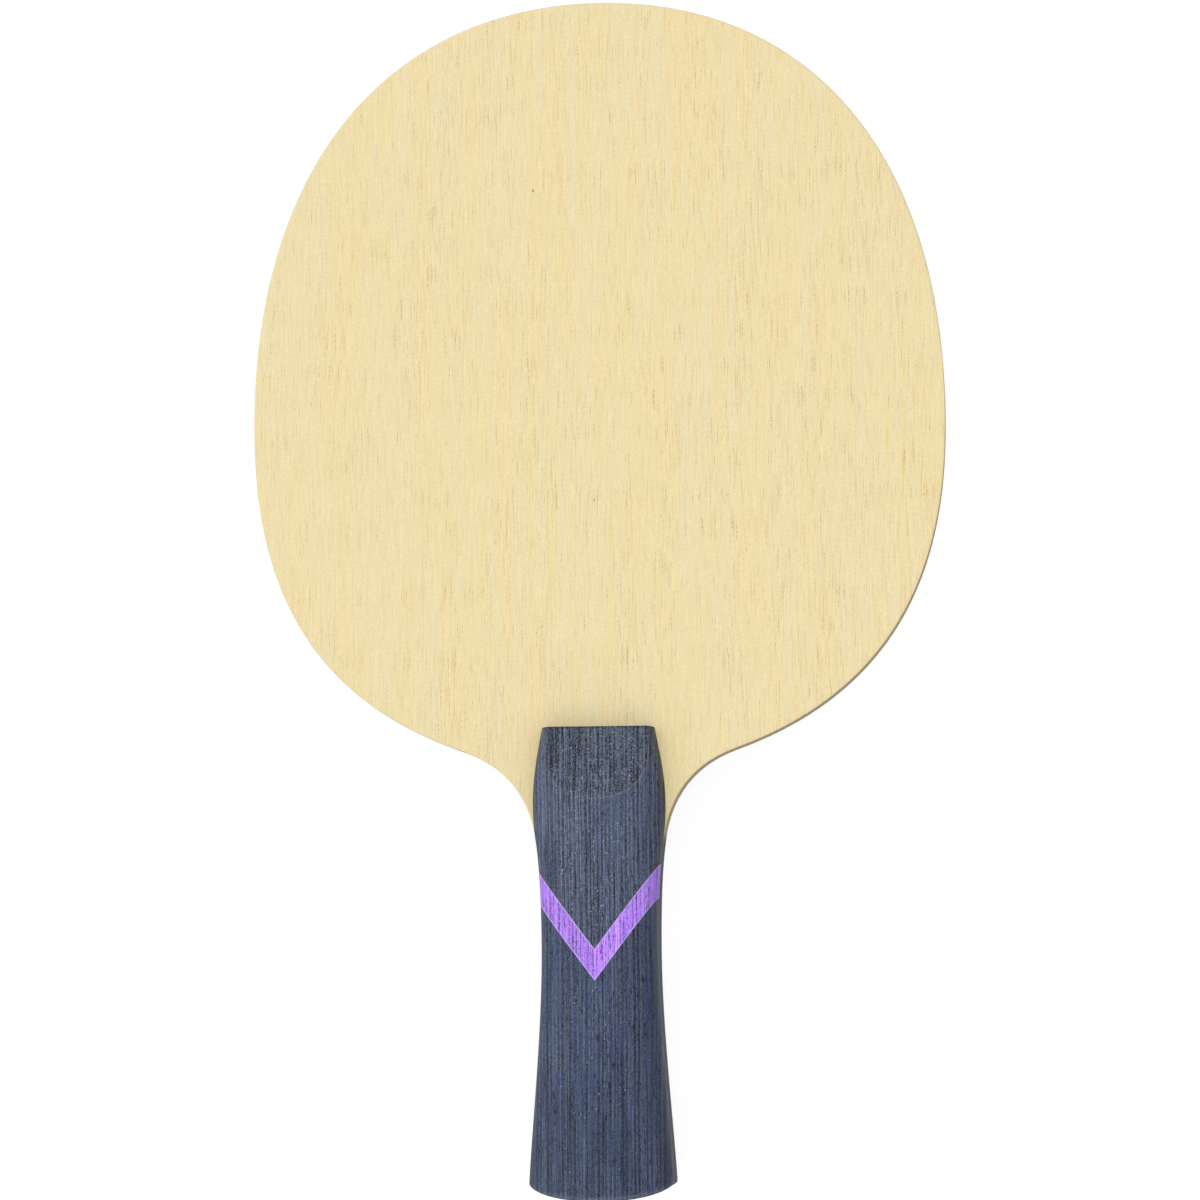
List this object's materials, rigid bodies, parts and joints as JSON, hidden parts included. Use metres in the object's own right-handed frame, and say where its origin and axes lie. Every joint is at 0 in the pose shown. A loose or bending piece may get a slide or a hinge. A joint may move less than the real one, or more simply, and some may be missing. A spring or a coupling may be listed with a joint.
{
  "type": "table tennis blade",
  "caption": "Shakehand table tennis bat without rubbers: laminated wooden blade and a flared handle with a purple chevron inlay.",
  "frame": {"origin": "below the middle of the blade, on the level of its lowest point, the rear crown of the handle at the butt", "axes": "+Y from the butt to the tip of the head, +X to the right seen from the front face, +Z out of the front face"},
  "size_m": [0.15, 0.2584, 0.0248],
  "materials": {
    "face_veneer": "fine-sanded pale yellow face veneer, unlacquered, straight grain along the handle",
    "inner_veneer": "raw tan veneer, seen only at the edge",
    "core_wood": "raw light core wood, seen only at the edge",
    "dyed_wood": "satin dark blue-grey dyed laminated wood with fine lengthwise streaks and open pores",
    "purple_wood": "satin bright purple dyed wood with fine lengthwise streaks"
  },
  "bodies": {
    "root": {"front_outer_ply": "face_veneer", "front_inner_ply": "inner_veneer", "core_ply": "core_wood", "rear_inner_ply": "inner_veneer", "rear_outer_ply": "face_veneer", "front_upper_block": "dyed_wood", "front_left_inlay": "purple_wood", "front_right_inlay": "purple_wood", "front_lower_block": "dyed_wood", "rear_upper_block": "dyed_wood", "rear_left_inlay": "purple_wood", "rear_right_inlay": "purple_wood", "rear_lower_block": "dyed_wood"}
  },
  "joints": []
}
